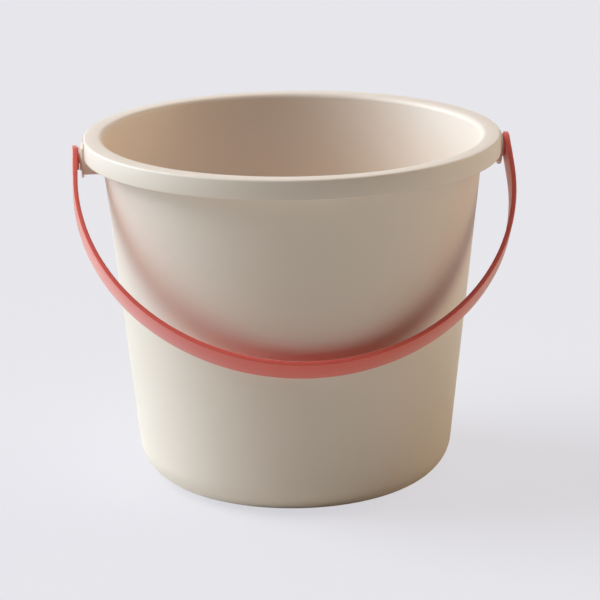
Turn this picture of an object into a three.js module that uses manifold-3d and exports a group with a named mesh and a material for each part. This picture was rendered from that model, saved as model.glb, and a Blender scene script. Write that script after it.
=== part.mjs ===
// A round household bucket, moulded in one piece with its lip, skirt and two ears, and its strap bail.
// Millimetres, +Z up. The origin is the middle of the base, on the plane that the bucket stands on,
// and the bail's pegs lie along X. The bail hangs at the front (-Y) and rests on the bucket's wall.
import * as THREE from "three";
import { mergeVertices, toCreasedNormals } from "three/addons/utils/BufferGeometryUtils.js";
import Module from "manifold-3d";

const wasm = await Module();
wasm.setup();

// Bucket wall
const height = 237;
const wallTopRadius = 129.1; // outside of the wall, where its straight line meets the lip
const wallBaseRadius = 105.2; // the same line, where it would meet the floor
const wallThickness = 2.1;
const cornerRadius = 25.5; // outside rounding between wall and base

// Base
const floorThickness = 2.3;
const footWidth = 7.5;
const footRampWidth = 4;
const footHeight = 2.5;

// Lip and skirt
const lipOverhang = 10.9; // from the wall's line out to the skirt's face
const lipThickness = 2.2;
const mouthRounding = 3.8; // inner edge of the lip
const lipRounding = 1.5; // outer edge of the lip
const skirtDepth = 13.3; // from the top of the lip to the skirt's lower edge
const skirtThickness = 2;
const skirtEdgeRounding = 0.7;
const channelRounding = 1.5; // inside corners of the channel under the lip

// Ears that hold the bail
const earHalfWidth = 10;
const earStand = 1.7; // how far an ear's face stands out of the skirt
const earThickness = 1.8;
const earTopDrop = 5; // below the top of the lip
const earBelowPivot = 13;
const hubRadius = 8;
const hubHeight = 1.2; // how far the hub round the peg stands out of the ear's face
const webThickness = 1.7;
const webBelowPivot = 8.9;
const pivotDrop = 13.7; // pegs' axis below the top of the lip

// Bail
const strapWidth = 18;
const strapThickness = 3.2;
const strapEdgeRounding = 0.7;
const bossRadius = 7.6;
const bossHeight = 1;
const pegRadius = 3.3;
const barbRadius = 4.5;
const barbTipRadius = 3;
const barbLength = 2.6;
const bailLeg = 24.1; // from the pegs' axis to the widest place
const bailBulge = 0.5; // how much wider the bail is there
const bailFlattening = 1.9; // how much the arc is less deep than half its width

// Clearances
const runningGap = 0.3; // between the bail and the ears, all round the pegs
const restGap = 0.3; // between the hanging bail and the wall

// Fineness of the round shapes
const turnSteps = 96;
const cornerSteps = 9;
const mouthSteps = 6;
const lipSteps = 5;
const channelSteps = 3;
const edgeSteps = 2;
const earSteps = 16;
const headSteps = 24;
const pegSteps = 28;
const legSteps = 5;
const arcSteps = 64;

// Values that follow from those above
const taper = (wallTopRadius - wallBaseRadius) / height;
const taperAngle = Math.atan(taper);
const rimRadius = wallTopRadius + lipOverhang;
const lipUnderside = height - lipThickness;
const pivotHeight = height - pivotDrop;
const earFace = rimRadius + earStand;
const earBack = earFace - earThickness;
const earTop = height - earTopDrop;
const skirtInside = rimRadius - skirtThickness;
const hubFace = earFace + hubHeight;
const bossFace = hubFace + runningGap;
const headRadius = strapWidth / 2;
const strapInnerFace = bossFace + bossHeight;
const bailHalfWidth = strapInnerFace + strapThickness + bailBulge;
const bailReach = bailLeg + bailHalfWidth - bailFlattening;

const wallRadiusAt = (z) => wallBaseRadius + taper * z;

// Points on an arc of a profile, from one angle to another.
function arcPoints(centreR, centreZ, radius, fromDegrees, toDegrees, steps) {
  const points = [];
  for (let i = 0; i <= steps; i++) {
    const angle = THREE.MathUtils.degToRad(fromDegrees + ((toDegrees - fromDegrees) * i) / steps);
    points.push(new THREE.Vector2(centreR + radius * Math.cos(angle), centreZ + radius * Math.sin(angle)));
  }
  return points;
}

const profilePoints = (pairs) => pairs.map(([r, z]) => new THREE.Vector2(r, z));

// A closed geometry as a solid that can be joined and cut.
function solidOf(geometry) {
  const bare = geometry.clone();
  bare.deleteAttribute("normal");
  bare.deleteAttribute("uv");
  const merged = mergeVertices(bare, 1e-4);
  return new wasm.Manifold(
    new wasm.Mesh({
      numProp: 3,
      vertProperties: merged.attributes.position.array,
      triVerts: new Uint32Array(merged.index.array),
    }),
  );
}

// The solid back as a geometry, smooth over its rounded faces.
function geometryOf(solid) {
  const mesh = solid.getMesh();
  const geometry = new THREE.BufferGeometry();
  geometry.setAttribute("position", new THREE.BufferAttribute(new Float32Array(mesh.vertProperties), 3));
  geometry.setIndex(new THREE.BufferAttribute(new Uint32Array(mesh.triVerts), 1));
  return toCreasedNormals(geometry, Math.PI / 6);
}

// A profile turned about Z.
function turned(points) {
  return solidOf(new THREE.LatheGeometry(points, turnSteps).rotateX(Math.PI / 2));
}

// Radius of the wall's rounded corner where it runs into the base.
function cornerFootRadius(radiusAtFloor, rounding) {
  return radiusAtFloor + taper * rounding - rounding / Math.cos(taperAngle);
}

// Outside of the bucket as a full solid: recessed base, rounded corner, wall, channel, skirt and lip.
function bucketOutside() {
  const foot = cornerFootRadius(wallBaseRadius, cornerRadius);
  const wallEnd = -THREE.MathUtils.radToDeg(taperAngle);
  const skirtEdgeHeight = height - skirtDepth + skirtEdgeRounding;
  const channelHeight = lipUnderside - channelRounding;
  const channelWallRadius = wallRadiusAt(lipUnderside);
  return turned([
    ...profilePoints([
      [0, footHeight],
      [foot - footWidth - footRampWidth, footHeight],
      [foot - footWidth, 0],
    ]),
    ...arcPoints(foot, cornerRadius, cornerRadius, -90, wallEnd, cornerSteps),
    ...arcPoints(channelWallRadius + channelRounding, channelHeight, channelRounding, 180, 90, channelSteps),
    ...arcPoints(skirtInside - channelRounding, channelHeight, channelRounding, 90, 0, channelSteps),
    ...arcPoints(skirtInside + skirtEdgeRounding, skirtEdgeHeight, skirtEdgeRounding, 180, 270, edgeSteps),
    ...arcPoints(rimRadius - skirtEdgeRounding, skirtEdgeHeight, skirtEdgeRounding, 270, 360, edgeSteps),
    ...arcPoints(rimRadius - lipRounding, height - lipRounding, lipRounding, 0, 90, lipSteps),
    ...profilePoints([[0, height]]),
  ]);
}

// The space inside the bucket, running on above the lip.
function bucketInside() {
  const innerBase = wallBaseRadius - wallThickness + taper * floorThickness;
  const rounding = cornerRadius - wallThickness;
  const foot = cornerFootRadius(innerBase, rounding);
  const outerFoot = cornerFootRadius(wallBaseRadius, cornerRadius);
  const wallEnd = -THREE.MathUtils.radToDeg(taperAngle);
  const mouthRadius = wallTopRadius - wallThickness + mouthRounding;
  const above = height + lipThickness;
  return turned([
    ...profilePoints([
      [0, footHeight + floorThickness],
      [outerFoot - footWidth - footRampWidth, footHeight + floorThickness],
      [outerFoot - footWidth, floorThickness],
    ]),
    ...arcPoints(foot, floorThickness + rounding, rounding, -90, wallEnd, cornerSteps),
    ...arcPoints(mouthRadius, height - mouthRounding, mouthRounding, 180, 90, mouthSteps),
    ...profilePoints([
      [mouthRadius, above],
      [0, above],
    ]),
  ]);
}

// A shape drawn in the Y-Z plane, thickened along +X from the given place.
function standingPlate(shape, fromX, thickness) {
  const geometry = new THREE.ExtrudeGeometry(shape, {
    depth: thickness,
    bevelEnabled: false,
    curveSegments: earSteps,
  });
  // The shape's x becomes Y, its y becomes Z and its depth becomes X.
  geometry.applyMatrix4(new THREE.Matrix4().set(0, 0, 1, fromX, 1, 0, 0, 0, 0, 1, 0, 0, 0, 0, 0, 1));
  return solidOf(geometry);
}

function boxSolid(low, high) {
  const size = high.clone().sub(low);
  const middle = high.clone().add(low).multiplyScalar(0.5);
  return solidOf(new THREE.BoxGeometry(size.x, size.y, size.z).translate(middle.x, middle.y, middle.z));
}

// A round rod along X.
function rodAlongX(radius, fromX, toX) {
  const rod = new THREE.CylinderGeometry(radius, radius, toX - fromX, pegSteps);
  return solidOf(rod.rotateZ(Math.PI / 2).translate((fromX + toX) / 2, 0, 0));
}

// The ear's flat plate: square at the top, round at the bottom, and tangent to the skirt.
function earPlate() {
  const roundCentre = pivotHeight - earBelowPivot + earHalfWidth;
  const outline = new THREE.Shape();
  outline.moveTo(earHalfWidth, earTop);
  outline.lineTo(-earHalfWidth, earTop);
  outline.lineTo(-earHalfWidth, roundCentre);
  outline.absarc(0, roundCentre, earHalfWidth, Math.PI, 2 * Math.PI, false);
  return standingPlate(outline, skirtInside, earFace - skirtInside);
}

// The low round hub that the bail's boss turns against.
function earHub() {
  return rodAlongX(hubRadius, earBack, hubFace).translate([0, 0, pivotHeight]);
}

// The two webs that tie an ear back to the wall.
function earWebs() {
  const webFrom = wallRadiusAt(pivotHeight) - 2 * earThickness - wallThickness;
  const webBottom = pivotHeight - webBelowPivot;
  const webInner = earHalfWidth - webThickness;
  const front = boxSolid(
    new THREE.Vector3(webFrom, -earHalfWidth, webBottom),
    new THREE.Vector3(earBack + earThickness / 2, -webInner, height - lipThickness / 2),
  );
  return front.add(front.mirror([0, 1, 0]));
}

// What is cut away behind an ear's plate, so that the plate has one thickness below its root.
function earPocket() {
  const webInner = earHalfWidth - webThickness;
  return boxSolid(
    new THREE.Vector3(wallRadiusAt(height), -webInner, pivotHeight - 2 * earBelowPivot),
    new THREE.Vector3(earBack, webInner, earTop - earThickness),
  );
}

// The hole through an ear and its hub for the peg.
function pegHole() {
  const hole = rodAlongX(pegRadius + runningGap, earBack - earThickness, hubFace + earThickness);
  return hole.translate([0, 0, pivotHeight]);
}

const bothEnds = (solid) => solid.add(solid.mirror([1, 0, 0]));

function bucketBody() {
  const solid = bucketOutside()
    .add(bothEnds(earWebs()))
    .add(bothEnds(earPlate()))
    .add(bothEnds(earHub()))
    .subtract(bucketInside())
    .subtract(bothEnds(earPocket()))
    .subtract(bothEnds(pegHole()));
  return geometryOf(solid);
}

// Half width of the bail at a depth below the pegs' axis, to a face that lies this far inside the outer one.
function legHalfWidth(depth, inset) {
  const rise = Math.min(Math.max(depth, 0), bailLeg) / bailLeg;
  return bailHalfWidth - inset - bailBulge * (1 - rise) ** 2;
}

// One face of the bail seen square on, from the top of the left head round the grip to the right head.
function bailLine(inset) {
  const overHead = headRadius + strapThickness;
  const leftLeg = [new THREE.Vector2(-legHalfWidth(0, inset), overHead)];
  for (let i = 0; i < legSteps; i++) {
    const depth = (bailLeg * i) / legSteps;
    leftLeg.push(new THREE.Vector2(-legHalfWidth(depth, inset), -depth));
  }
  const arc = [];
  for (let i = 0; i <= arcSteps; i++) {
    const angle = Math.PI + (Math.PI * i) / arcSteps;
    const across = (bailHalfWidth - inset) * Math.cos(angle);
    const down = (bailReach - bailLeg - inset) * Math.sin(angle);
    arc.push(new THREE.Vector2(across, down - bailLeg));
  }
  const rightLeg = leftLeg.map((p) => new THREE.Vector2(-p.x, p.y)).reverse();
  return [...leftLeg, ...arc, ...rightLeg];
}

// The strap, with rounded long edges, still square over its heads.
function strapBlank() {
  const outline = new THREE.Shape([...bailLine(0), ...bailLine(strapThickness).reverse()]);
  const depth = strapWidth - 2 * strapEdgeRounding;
  const geometry = new THREE.ExtrudeGeometry(outline, {
    depth,
    bevelEnabled: true,
    bevelThickness: strapEdgeRounding,
    bevelSize: strapEdgeRounding,
    bevelOffset: -strapEdgeRounding,
    bevelSegments: edgeSteps,
  });
  return solidOf(geometry.translate(0, 0, -depth / 2));
}

// Side view of the bail, through its whole width: a strap that ends in a round head.
function bailSideView() {
  const outline = new THREE.Shape();
  const bottom = -bailReach - strapThickness;
  outline.moveTo(headRadius, bottom);
  outline.lineTo(headRadius, 0);
  outline.absarc(0, 0, headRadius, 0, Math.PI, false);
  outline.lineTo(-headRadius, bottom);
  const reach = 2 * (bailHalfWidth + strapThickness);
  const geometry = new THREE.ExtrudeGeometry(outline, {
    depth: reach,
    bevelEnabled: false,
    curveSegments: headSteps,
  });
  return solidOf(geometry.translate(0, 0, -reach / 2).rotateY(Math.PI / 2));
}

// Boss, peg and snap barb on the inside of the right head.
function pegAndBoss() {
  const barbFace = earBack - runningGap;
  const profile = profilePoints([
    [0, barbFace - barbLength],
    [barbTipRadius, barbFace - barbLength],
    [barbRadius, barbFace - barbLength / 3],
    [barbRadius, barbFace],
    [pegRadius, barbFace],
    [pegRadius, bossFace],
    [bossRadius, bossFace],
    [bossRadius, strapInnerFace + strapThickness / 2],
    [0, strapInnerFace + strapThickness / 2],
  ]);
  return solidOf(new THREE.LatheGeometry(profile, pegSteps).rotateZ(-Math.PI / 2));
}

// The bail in its own frame: pegs' axis along X through the origin, hanging down -Y, its width along Z.
function bail() {
  return geometryOf(strapBlank().intersect(bailSideView()).add(bothEnds(pegAndBoss())));
}

// How far the bail stands out from straight down when its grip's lower inner edge meets the wall.
function restAngle() {
  const reach = bailReach - strapThickness;
  const half = strapWidth / 2;
  const alongSine = reach + half * taper;
  const alongCosine = reach * taper - half;
  const wallDistance = wallRadiusAt(pivotHeight) + restGap / Math.cos(taperAngle);
  return Math.asin(wallDistance / Math.hypot(alongSine, alongCosine)) - Math.atan2(alongCosine, alongSine);
}

const bucketPlastic = new THREE.MeshStandardMaterial({ color: 0xd9cdbb, roughness: 0.42, metalness: 0 });
const bailPlastic = new THREE.MeshStandardMaterial({ color: 0xc4523f, roughness: 0.38, metalness: 0 });

const bucketMesh = new THREE.Mesh(bucketBody(), bucketPlastic);
bucketMesh.name = "bucket_body";

const bailMesh = new THREE.Mesh(bail(), bailPlastic);
bailMesh.name = "bail_handle";

// The pegs' axis; turning this group swings the bail.
const bailHinge = new THREE.Group();
bailHinge.position.set(0, 0, pivotHeight);
bailHinge.rotation.x = Math.PI / 2 - restAngle();
bailHinge.add(bailMesh);

const bucket = new THREE.Group();
bucket.name = "bucket";
bucket.add(bucketMesh, bailHinge);

export default bucket;
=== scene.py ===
"""A cream household bucket with a brick-red strap bail.

Sizes are named in millimetres, and the scene is in metres, +Z up.
"""
from math import asin, atan, atan2, cos, hypot, pi, radians, sin, tan

import bmesh
import bpy
from mathutils import Matrix, Vector


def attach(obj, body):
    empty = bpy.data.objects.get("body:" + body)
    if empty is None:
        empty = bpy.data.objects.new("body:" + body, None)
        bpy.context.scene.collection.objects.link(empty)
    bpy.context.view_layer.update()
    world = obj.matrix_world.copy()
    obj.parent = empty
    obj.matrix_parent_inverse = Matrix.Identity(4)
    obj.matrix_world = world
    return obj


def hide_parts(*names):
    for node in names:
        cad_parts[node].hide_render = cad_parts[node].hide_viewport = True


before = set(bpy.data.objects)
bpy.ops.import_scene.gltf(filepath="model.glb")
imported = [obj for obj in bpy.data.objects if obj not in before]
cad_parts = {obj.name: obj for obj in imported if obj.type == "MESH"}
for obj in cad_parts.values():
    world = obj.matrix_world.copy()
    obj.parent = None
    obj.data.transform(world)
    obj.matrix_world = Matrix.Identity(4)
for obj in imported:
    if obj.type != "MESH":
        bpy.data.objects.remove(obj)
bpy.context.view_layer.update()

MM = 0.001

# Bucket
HEIGHT = 237.0
WALL_TOP_RADIUS = 129.1  # outside of the wall, where its straight line meets the lip
WALL_BASE_RADIUS = 105.2  # the same line, where it would meet the floor
WALL = 2.1
CORNER_RADIUS = 25.5  # outside rounding between wall and base
FLOOR = 2.3
FOOT_WIDTH = 7.5
FOOT_RAMP = 4.0
FOOT_HEIGHT = 2.5
FOOT_ROUNDING = 1.2
LIP_OVERHANG = 10.9  # from the wall's line out to the skirt's face
LIP = 2.2
MOUTH_ROUNDING = 3.8
LIP_ROUNDING = 1.5
SKIRT_DEPTH = 13.3  # from the top of the lip to the skirt's lower edge
SKIRT = 2.0
SKIRT_ROUNDING = 0.7
CHANNEL_ROUNDING = 1.5  # inside corners of the channel under the lip

# Ears
EAR_HALF_WIDTH = 10.0
EAR_STAND = 1.7  # how far an ear's face stands out of the skirt
EAR = 1.8
EAR_TOP_DROP = 5.0  # below the top of the lip
EAR_BELOW_PIVOT = 13.0
EAR_EDGE = 0.5
HUB_RADIUS = 8.0
HUB_HEIGHT = 1.2
HUB_ROOT = 0.4  # the hub starts this far in front of the plate's back
HUB_EDGE = 0.35
WEB = 1.7
WEB_BELOW_PIVOT = 8.9
WEB_IN_LIP = 0.25  # share of the lip's thickness that a web runs up into
PIVOT_DROP = 13.7  # pegs' axis below the top of the lip

# Bail
STRAP_WIDTH = 18.0
STRAP = 3.2
STRAP_ROUNDING = 0.7
BOSS_RADIUS = 7.6
BOSS_HEIGHT = 1.0
BOSS_EDGE = 0.25
PEG_RADIUS = 3.3
BARB_RADIUS = 4.5
BARB_TIP_RADIUS = 3.0
BARB_LENGTH = 2.6
BAIL_LEG = 24.1  # from the pegs' axis to the widest place
BAIL_BULGE = 0.5  # how much wider the bail is there
LEG_PULLS = (0.25, 0.75)  # shares of the bulge lost along a leg's lower and upper half
BAIL_FLATTENING = 1.9  # how much the arc is less deep than half its width
RUNNING_GAP = 0.3  # between the bail and the ears
REST_GAP = 0.3  # between the hanging bail and the wall

# Fineness of the round shapes
TURN_STEPS = 168
ARC_STEPS = 128
ROD_SIDES = 64
EAR_STEPS = 16
HEAD_STEPS = 20
STRAP_EDGE_STEPS = 4
EDGE_STEPS = 3
BEVEL_STEPS = 2
CORNER_STEPS_PER_MM = 2
FEWEST_CORNER_STEPS = 3
MOST_CORNER_STEPS = 16

# Small allowances of the modelling
OVERLAP = 0.5  # how far solids reach into each other where they are joined
FACE_STEP = 0.03  # between side faces that would otherwise lie in one plane
MEETING_GAP = 0.001  # between two roundings that meet in the middle of an end
NEAR = 0.1  # an edge this near to a line is on it
ON_FACE = 0.01
ON_CORNER = 0.02

TAPER = (WALL_TOP_RADIUS - WALL_BASE_RADIUS) / HEIGHT
TAPER_ANGLE = atan(TAPER)
RIM_RADIUS = WALL_TOP_RADIUS + LIP_OVERHANG
PIVOT_HEIGHT = HEIGHT - PIVOT_DROP
EAR_FACE = RIM_RADIUS + EAR_STAND
EAR_BACK = EAR_FACE - EAR
EAR_TOP = HEIGHT - EAR_TOP_DROP
EAR_BOTTOM = PIVOT_HEIGHT - EAR_BELOW_PIVOT
WEB_INSIDE = EAR_HALF_WIDTH - WEB
HUB_FACE = EAR_FACE + HUB_HEIGHT
BOSS_FACE = HUB_FACE + RUNNING_GAP
STRAP_INSIDE = BOSS_FACE + BOSS_HEIGHT
BAIL_HALF_WIDTH = STRAP_INSIDE + STRAP + BAIL_BULGE
BAIL_DEPTH = BAIL_HALF_WIDTH - BAIL_FLATTENING


# Steps that every piece is modelled with

def start_clear():
    """Leaves nothing selected."""
    if bpy.context.object and bpy.context.object.mode != "OBJECT":
        bpy.ops.object.mode_set(mode="OBJECT")
    bpy.ops.object.select_all(action="DESELECT")


def take_up(obj):
    """Makes obj the one object that is selected."""
    start_clear()
    obj.select_set(True)
    bpy.context.view_layer.objects.active = obj


def place_in_mesh():
    """Moves the active object's place, turn and size into its mesh."""
    bpy.ops.object.transform_apply(location=True, rotation=True, scale=True)


def edit():
    bpy.ops.object.mode_set(mode="EDIT")


def leave_edit():
    bpy.ops.object.mode_set(mode="OBJECT")


def pick_all():
    bpy.ops.mesh.select_all(action="SELECT")


def pick(kind, wanted):
    """Selects the vertices, edges or faces of the edited mesh for which wanted(element) is true."""
    obj = bpy.context.object
    bpy.ops.mesh.select_mode(type=kind)
    bpy.ops.mesh.select_all(action="DESELECT")
    mesh = bmesh.from_edit_mesh(obj.data)
    elements = {"VERT": mesh.verts, "EDGE": mesh.edges, "FACE": mesh.faces}[kind]
    for element in elements:
        if wanted(element):
            element.select_set(True)
    mesh.select_flush_mode()
    bmesh.update_edit_mesh(obj.data)


def middle(element):
    """Middle of an edge or a face, in millimetres."""
    verts = element.verts
    return sum((v.co for v in verts), Vector()) / len(verts) / MM


def bevel_edges(offset, steps):
    """Rounds the picked edges."""
    bpy.ops.mesh.bevel(offset=offset * MM, segments=steps, affect="EDGES")


def tidy_surface(within=0.02):
    """Closes poles and seams and turns all faces outwards."""
    pick_all()
    bpy.ops.mesh.remove_doubles(threshold=within * MM)
    bpy.ops.mesh.normals_make_consistent(inside=False)


def block(name, low, high):
    """A box between two corners, in millimetres."""
    start_clear()
    low, high = Vector(low) * MM, Vector(high) * MM
    bpy.ops.mesh.primitive_cube_add(size=1, location=(low + high) / 2)
    obj = bpy.context.object
    obj.name = name
    obj.scale = high - low
    place_in_mesh()
    return obj


def rod(name, radius, from_x, to_x, height):
    """A round rod along X."""
    start_clear()
    bpy.ops.mesh.primitive_cylinder_add(
        vertices=ROD_SIDES, radius=radius * MM, depth=abs(to_x - from_x) * MM,
        location=((from_x + to_x) / 2 * MM, 0, height * MM), rotation=(0, pi / 2, 0),
    )
    obj = bpy.context.object
    obj.name = name
    place_in_mesh()
    return obj


def finish_with(obj, kind, **settings):
    """Adds a modifier and applies it."""
    take_up(obj)
    modifier = obj.modifiers.new(kind.title(), kind)
    for key, value in settings.items():
        setattr(modifier, key, value)
    bpy.ops.object.modifier_apply(modifier=modifier.name)


def join_solid(obj, other, operation="UNION"):
    """Unites obj with the other solid, or cuts the other one out of it, and deletes the other one."""
    finish_with(obj, "BOOLEAN", operation=operation, solver="EXACT", object=other)
    bpy.data.objects.remove(other, do_unlink=True)


def other_side(obj):
    """A copy of obj mirrored to the other side of the bucket."""
    take_up(obj)
    bpy.ops.object.duplicate()
    twin = bpy.context.object
    edit()
    pick_all()
    bpy.ops.transform.mirror(constraint_axis=(True, False, False), center_override=(0, 0, 0))
    bpy.ops.mesh.normals_make_consistent(inside=False)
    leave_edit()
    return twin


def section_line(name, corners):
    """A line through corners, each (radius, height, rounding), with its corners rounded."""
    start_clear()
    bpy.ops.mesh.primitive_plane_add(size=MM)
    obj = bpy.context.object
    obj.name = name
    edit()
    bpy.ops.mesh.select_mode(type="VERT")
    pick_all()
    bpy.ops.mesh.merge(type="CENTER")
    bpy.ops.transform.translate(value=(corners[0][0] * MM, 0, corners[0][1] * MM))
    for here, there in zip(corners, corners[1:]):
        step = ((there[0] - here[0]) * MM, 0, (there[1] - here[1]) * MM)
        bpy.ops.mesh.extrude_vertices_move(TRANSFORM_OT_translate={"value": step})
    for before, corner, after in zip(corners, corners[1:], corners[2:]):
        if corner[2]:
            round_corner(before, corner, after)
    return obj


def round_corner(before, corner, after):
    """Rounds one corner of the section line by the radius that it names."""
    place = Vector((corner[0], 0, corner[1]))
    one = Vector((before[0], 0, before[1])) - place
    two = Vector((after[0], 0, after[1])) - place
    rounding = corner[2]
    tangent = rounding / tan(one.angle(two) / 2)
    steps = round(rounding * CORNER_STEPS_PER_MM)
    steps = max(FEWEST_CORNER_STEPS, min(MOST_CORNER_STEPS, steps))
    pick("VERT", lambda v: (v.co / MM - place).length < ON_CORNER)
    bpy.ops.mesh.bevel(
        affect="VERTICES", offset=tangent * MM, offset_type="OFFSET",
        segments=steps, profile=0.5, clamp_overlap=False,
    )


def wall_radius(z):
    """Outside of the straight wall at a height."""
    return WALL_BASE_RADIUS + TAPER * z


def corner_foot(radius_at_floor, rounding):
    """Where a rounded wall corner meets the level floor."""
    return radius_at_floor + TAPER * rounding - rounding / cos(TAPER_ANGLE)


# The bucket: one section turned once round, then its ears

def bucket_shell():
    """Base, standing ring, wall, channel, skirt, lip and inside, as one section turned about the axis."""
    foot = corner_foot(WALL_BASE_RADIUS, CORNER_RADIUS)
    ring_inside = foot - FOOT_WIDTH
    ramp_inside = ring_inside - FOOT_RAMP
    under = HEIGHT - LIP
    skirt_inside = RIM_RADIUS - SKIRT
    skirt_low = HEIGHT - SKIRT_DEPTH
    inside_base = WALL_BASE_RADIUS - WALL
    inside_floor = inside_base + TAPER * FLOOR
    inside_top = inside_base + TAPER * HEIGHT
    corners = [
        (0, FOOT_HEIGHT, 0),
        (ramp_inside, FOOT_HEIGHT, FOOT_ROUNDING),
        (ring_inside, 0, FOOT_ROUNDING),
        (WALL_BASE_RADIUS, 0, CORNER_RADIUS),
        (wall_radius(under), under, CHANNEL_ROUNDING),
        (skirt_inside, under, CHANNEL_ROUNDING),
        (skirt_inside, skirt_low, SKIRT_ROUNDING),
        (RIM_RADIUS, skirt_low, SKIRT_ROUNDING),
        (RIM_RADIUS, HEIGHT, LIP_ROUNDING),
        (inside_top, HEIGHT, MOUTH_ROUNDING),
        (inside_floor, FLOOR, CORNER_RADIUS - WALL),
        (ring_inside, FLOOR, FOOT_ROUNDING),
        (ramp_inside, FOOT_HEIGHT + FLOOR, FOOT_ROUNDING),
        (0, FOOT_HEIGHT + FLOOR, 0),
    ]
    shell = section_line("bucket_shell", corners)
    pick_all()
    bpy.ops.mesh.spin(steps=TURN_STEPS, angle=2 * pi, center=(0, 0, 0), axis=(0, 0, 1))
    tidy_surface()
    leave_edit()
    return shell


def at_lower_corner(place):
    """Whether a place is on one of the two lower corners of the ear's plate."""
    return abs(place.z - EAR_BOTTOM) < NEAR and abs(abs(place.y) - EAR_HALF_WIDTH) < NEAR


def ear_plate():
    """The ear's plate, round at its lower end, with a root as deep as the skirt."""
    low = (RIM_RADIUS - SKIRT, -EAR_HALF_WIDTH, EAR_BOTTOM)
    plate = block("ear", low, (EAR_FACE, EAR_HALF_WIDTH, EAR_TOP))
    edit()
    pick("EDGE", lambda e: at_lower_corner(middle(e)))
    bevel_edges(EAR_HALF_WIDTH - MEETING_GAP, EAR_STEPS)
    tidy_surface()
    pick("EDGE", lambda e: all(v.co.x > (EAR_FACE - ON_FACE) * MM for v in e.verts))
    bevel_edges(EAR_EDGE, EDGE_STEPS)
    leave_edit()
    return plate


def ear_web(side):
    """One of the two webs that tie an ear back to the wall. Its inner edge leans as the wall does."""
    low = PIVOT_HEIGHT - WEB_BELOW_PIVOT
    high = HEIGHT - (1 - WEB_IN_LIP) * LIP
    from_x = wall_radius(low) - WALL / 2
    near_y, far_y = sorted((side * WEB_INSIDE, side * (EAR_HALF_WIDTH - FACE_STEP)))
    web = block("web", (from_x, near_y, low), (EAR_BACK + OVERLAP, far_y, high))
    edit()
    pick("EDGE", lambda e: abs(middle(e).x - from_x) < NEAR and abs(middle(e).z - high) < NEAR)
    bpy.ops.transform.translate(value=(TAPER * (high - low) * MM, 0, 0))
    leave_edit()
    return web


def ear_hub():
    """The low round hub that the bail's boss turns against."""
    hub = rod("hub", HUB_RADIUS, EAR_BACK + HUB_ROOT, HUB_FACE, PIVOT_HEIGHT)
    edit()
    pick("EDGE", lambda e: all(v.co.x > (HUB_FACE - ON_FACE) * MM for v in e.verts))
    bevel_edges(HUB_EDGE, EDGE_STEPS)
    leave_edit()
    return hub


def bucket_body():
    """The bucket with both ears, each hollow behind its plate and with a hole for the peg."""
    shell = bucket_shell()
    ear = ear_plate()
    join_solid(ear, ear_web(-1))
    join_solid(ear, ear_web(1))
    join_solid(ear, ear_hub())
    pocket_side = WEB_INSIDE - FACE_STEP
    pocket_low = PIVOT_HEIGHT - 2 * EAR_BELOW_PIVOT
    pocket = block(
        "pocket", (wall_radius(HEIGHT), -pocket_side, pocket_low), (EAR_BACK, pocket_side, EAR_TOP - EAR)
    )
    hole = rod("peg_hole", PEG_RADIUS + RUNNING_GAP, EAR_BACK - EAR, HUB_FACE + EAR, PIVOT_HEIGHT)
    for piece, operation in ((ear, "UNION"), (pocket, "DIFFERENCE"), (hole, "DIFFERENCE")):
        twin = other_side(piece)
        join_solid(shell, piece, operation)
        join_solid(shell, twin, operation)
    edit()
    tidy_surface(within=0.001)
    leave_edit()
    return shell


# The bail: a strap swept round in its own plane, then its heads and pegs

def rest_angle():
    """How far the bail leans out from straight down, so that its grip's lower inner edge meets the wall."""
    reach = BAIL_LEG + BAIL_DEPTH - STRAP
    half = STRAP_WIDTH / 2
    along_sine = reach + half * TAPER
    along_cosine = reach * TAPER - half
    distance = wall_radius(PIVOT_HEIGHT) + REST_GAP / cos(TAPER_ANGLE)
    return asin(distance / hypot(along_sine, along_cosine)) - atan2(along_cosine, along_sine)


def strap():
    """The strap in the X-Z plane, hanging from the pegs' axis at the origin, its width along Y."""
    half = STRAP_WIDTH / 2
    widest = (0, 0, -BAIL_LEG * MM)
    start_clear()
    bpy.ops.mesh.primitive_plane_add(size=1, location=((STRAP / 2 - BAIL_HALF_WIDTH) * MM, 0, -BAIL_LEG * MM))
    piece = bpy.context.object
    piece.name = "bail_strap"
    piece.scale = (STRAP * MM, STRAP_WIDTH * MM, 1)
    place_in_mesh()
    edit()
    pick_all()
    bpy.ops.mesh.spin(steps=ARC_STEPS, angle=pi, center=widest, axis=(0, 1, 0))
    pick_all()
    bpy.ops.transform.resize(value=(1, 1, BAIL_DEPTH / BAIL_HALF_WIDTH), center_override=widest)
    bpy.ops.mesh.normals_make_consistent(inside=False)
    # The two ends are drawn up as legs, pulled in a little, and then on over the heads.
    pick("FACE", lambda f: abs(middle(f).z + BAIL_LEG) < ON_FACE and abs(f.normal.z) > 0.9)
    for pull in LEG_PULLS:
        bpy.ops.mesh.extrude_region_move(TRANSFORM_OT_translate={"value": (0, 0, BAIL_LEG / 2 * MM)})
        narrowed = 1 - pull * BAIL_BULGE / BAIL_HALF_WIDTH
        bpy.ops.transform.resize(value=(narrowed, 1, 1), center_override=(0, 0, 0))
    bpy.ops.mesh.extrude_region_move(TRANSFORM_OT_translate={"value": (0, 0, half * MM)})
    tidy_surface()
    pick("EDGE", lambda e: abs(middle(e).z - half) < NEAR and abs(abs(middle(e).y) - half) < NEAR)
    bevel_edges(half - MEETING_GAP, HEAD_STEPS)
    tidy_surface()
    bpy.ops.mesh.select_mode(type="EDGE")
    bpy.ops.mesh.select_all(action="DESELECT")
    bpy.ops.mesh.edges_select_sharp(sharpness=radians(50))
    bevel_edges(STRAP_ROUNDING, STRAP_EDGE_STEPS)
    leave_edit()
    return piece


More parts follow.
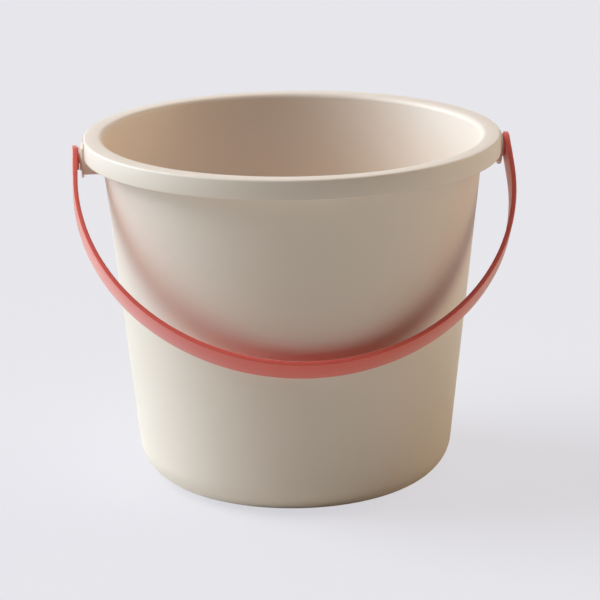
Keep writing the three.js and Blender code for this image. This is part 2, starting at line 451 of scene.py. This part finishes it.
def peg():
    """Boss, peg and snap barb on the inside of the right head."""
    barb_face = EAR_BACK - RUNNING_GAP
    barb_tip = barb_face - BARB_LENGTH
    boss = rod("boss", BOSS_RADIUS, BOSS_FACE, STRAP_INSIDE + STRAP / 2, 0)
    edit()
    pick("EDGE", lambda e: all(v.co.x < (BOSS_FACE + ON_FACE) * MM for v in e.verts))
    bevel_edges(BOSS_EDGE, BEVEL_STEPS)
    leave_edit()
    join_solid(boss, rod("peg", PEG_RADIUS, barb_face - OVERLAP, BOSS_FACE + OVERLAP, 0))
    barb = rod("barb", BARB_RADIUS, barb_tip, barb_face, 0)
    edit()
    pick("EDGE", lambda e: all(v.co.x < (barb_tip + ON_FACE) * MM for v in e.verts))
    bevel_edges(BARB_RADIUS - BARB_TIP_RADIUS, BEVEL_STEPS)
    leave_edit()
    join_solid(boss, barb)
    return boss


def bail_handle():
    """The strap with both pegs, swung forward until the grip leans on the wall."""
    piece = strap()
    right_peg = peg()
    left_peg = other_side(right_peg)
    join_solid(piece, right_peg)
    join_solid(piece, left_peg)
    take_up(piece)
    piece.rotation_euler = (-rest_angle(), 0, 0)
    piece.location = (0, 0, PIVOT_HEIGHT * MM)
    place_in_mesh()
    edit()
    tidy_surface(within=0.001)
    leave_edit()
    return piece


# Finishes

GRAIN_SCALE = 2600.0
CLOUD_SCALE = 14.0
STREAK_SCALE = 60.0
STREAK_STRETCH = (1, 1, 14)  # streaks run round the bucket
STREAK_RANGE = (0.58, 0.78)
STREAK_SHARE = 0.12  # how far a streak goes towards the rubbed colour; on edges the same colour is also a painted highlight
EDGE_RANGE = (0.52, 0.62)
PLASTIC_IOR = 1.49
HAZE_ROUGHNESS = 0.5
HAZE_TINT = (1, 0.94, 0.92, 1)
GLOSSIER = 0.05
DULLER = 0.07
GRAIN_HEIGHT = 0.04 * MM
GRAIN_STRENGTH = 0.35


def linear(red, green, blue):
    """A display colour, 0 to 255, as the scene's linear colour."""
    parts = [value / 255 for value in (red, green, blue)]
    return tuple(v / 12.92 if v <= 0.04045 else ((v + 0.055) / 1.055) ** 2.4 for v in parts) + (1,)


def node(tree, kind, place, **settings):
    """A new shader node at a place in the tree."""
    made = tree.nodes.new(kind)
    made.location = place
    for key, value in settings.items():
        setattr(made, key, value)
    return made


def noise(tree, place, detail, vector, scale):
    """A noise over the surface, from 0 to 1."""
    made = node(tree, "ShaderNodeTexNoise", place)
    made.inputs["Detail"].default_value = detail
    tree.links.new(vector, made.inputs["Vector"])
    tree.links.new(scale, made.inputs["Scale"])
    return made.outputs["Fac"]


def mask(tree, place, value, low_high):
    """A mask that is 0 where a value is below a range and 1 where it is above."""
    made = node(tree, "ShaderNodeMapRange", place)
    made.inputs["From Min"].default_value, made.inputs["From Max"].default_value = low_high
    tree.links.new(value, made.inputs["Value"])
    return made.outputs["Result"]


def moulded_skin():
    """Node group for moulded plastic: a fine grain, a broad unevenness and faint rubbed streaks."""
    group = bpy.data.node_groups.new("moulded_skin", "ShaderNodeTree")
    face = group.interface
    scales = (("Grain Scale", GRAIN_SCALE), ("Cloud Scale", CLOUD_SCALE), ("Streak Scale", STREAK_SCALE))
    for name, scale in scales:
        face.new_socket(name=name, in_out="INPUT", socket_type="NodeSocketFloat").default_value = scale
    for name in ("Grain", "Cloud", "Streak"):
        face.new_socket(name=name, in_out="OUTPUT", socket_type="NodeSocketFloat")
    inlet = node(group, "NodeGroupInput", (-900, 0))
    outlet = node(group, "NodeGroupOutput", (500, 0))
    place = node(group, "ShaderNodeTexCoord", (-900, -250)).outputs["Object"]
    squeeze = node(group, "ShaderNodeMapping", (-700, -250))
    squeeze.inputs["Scale"].default_value = STREAK_STRETCH
    link = group.links.new
    link(place, squeeze.inputs["Vector"])
    grain = noise(group, (-500, 250), 3, place, inlet.outputs["Grain Scale"])
    cloud = noise(group, (-500, 0), 4, place, inlet.outputs["Cloud Scale"])
    streak = noise(group, (-500, -250), 6, squeeze.outputs["Vector"], inlet.outputs["Streak Scale"])
    link(grain, outlet.inputs["Grain"])
    link(cloud, outlet.inputs["Cloud"])
    link(mask(group, (-250, -250), streak, STREAK_RANGE), outlet.inputs["Streak"])
    return group


def worn_and_highlit_edges():
    """Node group that finds sharp edges and lightens them: partly rubbed wear, partly a painted highlight
    along the edges.
    """
    group = bpy.data.node_groups.new("worn_and_highlit_edges", "ShaderNodeTree")
    face = group.interface
    face.new_socket(name="Amount", in_out="INPUT", socket_type="NodeSocketFloat").default_value = 0.2
    face.new_socket(name="Edge Wear And Highlight", in_out="OUTPUT", socket_type="NodeSocketFloat")
    inlet = node(group, "NodeGroupInput", (-500, -150))
    outlet = node(group, "NodeGroupOutput", (300, 0))
    form = node(group, "ShaderNodeNewGeometry", (-500, 100))
    # Pointiness picks out convex edges, which are lightened as wear and as a painted highlight.
    ridge = mask(group, (-250, 100), form.outputs["Pointiness"], EDGE_RANGE)
    amount = node(group, "ShaderNodeMath", (50, 0), operation="MULTIPLY")
    group.links.new(ridge, amount.inputs[0])
    group.links.new(inlet.outputs["Amount"], amount.inputs[1])
    group.links.new(amount.outputs["Value"], outlet.inputs["Edge Wear And Highlight"])
    return group


SKIN = moulded_skin()
WEAR_AND_HIGHLIGHT = worn_and_highlit_edges()


def moulded_plastic(name, deep, pale, rubbed_and_lit, roughness, edge_wear_and_highlight, haze):
    """Satin moulded plastic. Its colour drifts from deep to pale, and goes to a rubbed colour in streaks and
    on edges. On the edges that colour is partly wear and partly a painted highlight.

    haze is the pale bloom that the surface shows at a low angle.
    """
    material = bpy.data.materials.new(name)
    material.use_nodes = True
    tree = material.node_tree
    link = tree.links.new
    plastic = tree.nodes["Principled BSDF"]
    plastic.inputs["IOR"].default_value = PLASTIC_IOR
    plastic.inputs["Sheen Weight"].default_value = haze
    plastic.inputs["Sheen Roughness"].default_value = HAZE_ROUGHNESS
    plastic.inputs["Sheen Tint"].default_value = HAZE_TINT
    skin = node(tree, "ShaderNodeGroup", (-900, 0), node_tree=SKIN)
    wear_and_highlight = node(tree, "ShaderNodeGroup", (-900, -300), node_tree=WEAR_AND_HIGHLIGHT)
    wear_and_highlight.inputs["Amount"].default_value = edge_wear_and_highlight
    drift = node(tree, "ShaderNodeMix", (-600, 150), data_type="RGBA")
    drift.inputs["A"].default_value = deep
    drift.inputs["B"].default_value = pale
    link(skin.outputs["Cloud"], drift.inputs["Factor"])
    streaks = node(tree, "ShaderNodeMath", (-700, -150), operation="MULTIPLY_ADD")
    streaks.inputs[1].default_value = STREAK_SHARE
    link(skin.outputs["Streak"], streaks.inputs[0])
    # Sharp edges go towards the rubbed colour too, as wear and as a painted highlight.
    link(wear_and_highlight.outputs["Edge Wear And Highlight"], streaks.inputs[2])
    worn_and_lit = node(tree, "ShaderNodeMix", (-350, 100), data_type="RGBA")
    worn_and_lit.inputs["B"].default_value = rubbed_and_lit
    link(streaks.outputs["Value"], worn_and_lit.inputs["Factor"])
    link(drift.outputs["Result"], worn_and_lit.inputs["A"])
    link(worn_and_lit.outputs["Result"], plastic.inputs["Base Color"])
    gloss = node(tree, "ShaderNodeMapRange", (-350, -150))
    gloss.inputs["To Min"].default_value = roughness - GLOSSIER
    gloss.inputs["To Max"].default_value = roughness + DULLER
    link(skin.outputs["Cloud"], gloss.inputs["Value"])
    link(gloss.outputs["Result"], plastic.inputs["Roughness"])
    relief = node(tree, "ShaderNodeBump", (-350, -400))
    relief.inputs["Strength"].default_value = GRAIN_STRENGTH
    relief.inputs["Distance"].default_value = GRAIN_HEIGHT
    link(skin.outputs["Grain"], relief.inputs["Height"])
    link(relief.outputs["Normal"], plastic.inputs["Normal"])
    return material


# The rubbed colours are paler than the plastic. On edges they are partly wear and partly a painted highlight.
CREAM = moulded_plastic(
    "cream_plastic", deep=linear(241, 223, 208), pale=linear(244, 228, 214), rubbed_and_lit=linear(247, 236, 226),
    roughness=0.42, edge_wear_and_highlight=0.2, haze=0.0,
)
BRICK_RED = moulded_plastic(
    "brick_red_plastic", deep=linear(234, 84, 68), pale=linear(240, 91, 75), rubbed_and_lit=linear(246, 140, 126),
    roughness=0.42, edge_wear_and_highlight=0.25, haze=0.75,
)


def dress(piece, material, moves_with, node_name):
    """Gives a finished piece its plastic and its body, and hides the solid from model.glb that it stands for.
    """
    take_up(piece)
    bpy.ops.object.shade_smooth_by_angle(angle=radians(32))
    piece.data.materials.clear()
    piece.data.materials.append(material)
    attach(piece, moves_with)
    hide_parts(node_name)


body = bucket_body()
dress(body, CREAM, "bucket", "bucket_body")
bail = bail_handle()
dress(bail, BRICK_RED, "bail", "bail_handle")


# Floor, light and camera

BACKGROUND = linear(229, 228, 233)
FLOOR_RADIUS = 30
FLOOR_DROP = 0.0001
FLOOR_SHADE = (0.2, 0.2, 0.212, 1)  # the part of the floor's colour that a shadow can take away
FLOOR_GLOW = 0.8
FLOOR_BOUNCE = linear(223, 221, 215)
LIGHT_SOFTNESS = 45
CAMERA_AZIMUTH = -5.34
CAMERA_ELEVATION = 16.32
CAMERA_ROLL = -0.68
CAMERA_DISTANCE = 1.68054
CAMERA_AIM_ASIDE = 0.00409
CAMERA_AIM_HEIGHT = 0.11901
CAMERA_LENS = 147.07
CAMERA_SENSOR = 36


def studio_floor():
    """A wide pale floor. The camera sees it at the backdrop's colour, with the bucket's soft shadow."""
    start_clear()
    bpy.ops.mesh.primitive_circle_add(
        vertices=96, radius=FLOOR_RADIUS, fill_type="NGON", location=(0, 0, -FLOOR_DROP)
    )
    floor = bpy.context.object
    floor.name = "studio_floor"
    material = bpy.data.materials.new("pale_floor")
    material.use_nodes = True
    tree = material.node_tree
    tree.nodes.clear()
    link = tree.links.new
    paths = node(tree, "ShaderNodeLightPath", (-600, 200))
    seen = node(tree, "ShaderNodeBsdfDiffuse", (-400, 0))
    seen.inputs["Color"].default_value = FLOOR_SHADE
    glow = node(tree, "ShaderNodeEmission", (-400, -150))
    glow.inputs["Color"].default_value = BACKGROUND
    glow.inputs["Strength"].default_value = FLOOR_GLOW
    both = node(tree, "ShaderNodeAddShader", (-200, -50))
    bounce = node(tree, "ShaderNodeBsdfDiffuse", (-400, -300))
    bounce.inputs["Color"].default_value = FLOOR_BOUNCE
    choice = node(tree, "ShaderNodeMixShader", (0, 0))
    out = node(tree, "ShaderNodeOutputMaterial", (200, 0))
    link(seen.outputs["BSDF"], both.inputs[0])
    link(glow.outputs["Emission"], both.inputs[1])
    link(paths.outputs["Is Camera Ray"], choice.inputs["Fac"])
    link(bounce.outputs["BSDF"], choice.inputs[1])
    link(both.outputs["Shader"], choice.inputs[2])
    link(choice.outputs["Shader"], out.inputs["Surface"])
    floor.data.materials.append(material)


def direction(azimuth, elevation):
    """Unit vector towards a light: azimuth 0 is the front, and 90 the left as the camera sees it."""
    a, e = radians(azimuth), radians(elevation)
    return Vector((-sin(a) * cos(e), -cos(a) * cos(e), sin(e)))


def studio_light(name, azimuth, elevation, strength, colour):
    """A soft distant light."""
    lamp = bpy.data.lights.new(name, "SUN")
    lamp.energy = strength
    lamp.angle = radians(LIGHT_SOFTNESS)
    lamp.color = colour
    obj = bpy.data.objects.new(name, lamp)
    obj.rotation_euler = direction(azimuth, elevation).to_track_quat("Z", "Y").to_euler()
    bpy.context.scene.collection.objects.link(obj)


def studio_world(colour, strength, mirrored):
    """A dim surround that lights the bucket a little, and that its sheen mirrors as a pale backdrop."""
    world = bpy.data.worlds.new("studio")
    bpy.context.scene.world = world
    world.use_nodes = True
    tree = world.node_tree
    shade = tree.nodes["Background"]
    shade.inputs["Color"].default_value = colour
    paths = node(tree, "ShaderNodeLightPath", (-500, 0))
    amount = node(tree, "ShaderNodeMath", (-250, 0), operation="MULTIPLY_ADD")
    amount.inputs[1].default_value = mirrored - strength
    amount.inputs[2].default_value = strength
    tree.links.new(paths.outputs["Is Glossy Ray"], amount.inputs[0])
    tree.links.new(amount.outputs["Value"], shade.inputs["Strength"])


def photo_camera():
    """The photograph's camera: low, a little to the left, and turned a little about its own axis."""
    azimuth, elevation, roll = radians(CAMERA_AZIMUTH), radians(CAMERA_ELEVATION), radians(CAMERA_ROLL)
    back = Vector((sin(azimuth) * cos(elevation), -cos(azimuth) * cos(elevation), sin(elevation)))
    level = Vector((cos(azimuth), sin(azimuth), 0))
    upright = back.cross(level)
    target = level * CAMERA_AIM_ASIDE + Vector((0, 0, CAMERA_AIM_HEIGHT))
    right = level * cos(roll) + upright * sin(roll)
    up = upright * cos(roll) - level * sin(roll)
    place = target + back * CAMERA_DISTANCE
    camera = bpy.data.cameras.new("camera")
    camera.sensor_width = CAMERA_SENSOR
    camera.lens = CAMERA_LENS
    obj = bpy.data.objects.new("camera", camera)
    obj.matrix_world = Matrix((
        (right.x, up.x, back.x, place.x),
        (right.y, up.y, back.y, place.y),
        (right.z, up.z, back.z, place.z),
        (0, 0, 0, 1),
    ))
    bpy.context.scene.collection.objects.link(obj)
    bpy.context.scene.camera = obj


studio_floor()
studio_world(colour=(0.95, 0.96, 1.0, 1), strength=0.04, mirrored=0.8)
studio_light("low_left", 110, 15, strength=2.6, colour=(0.585, 0.82, 1.0))
studio_light("high_left", 101, 45, strength=2.1, colour=(1.0, 1.0, 0.97))
studio_light("behind", 180, 60, strength=0.3, colour=(1.0, 0.95, 0.9))
studio_light("low_right", -101, 20, strength=1.08, colour=(1.0, 0.8, 0.54))
photo_camera()
bpy.context.scene.view_settings.view_transform = "Standard"
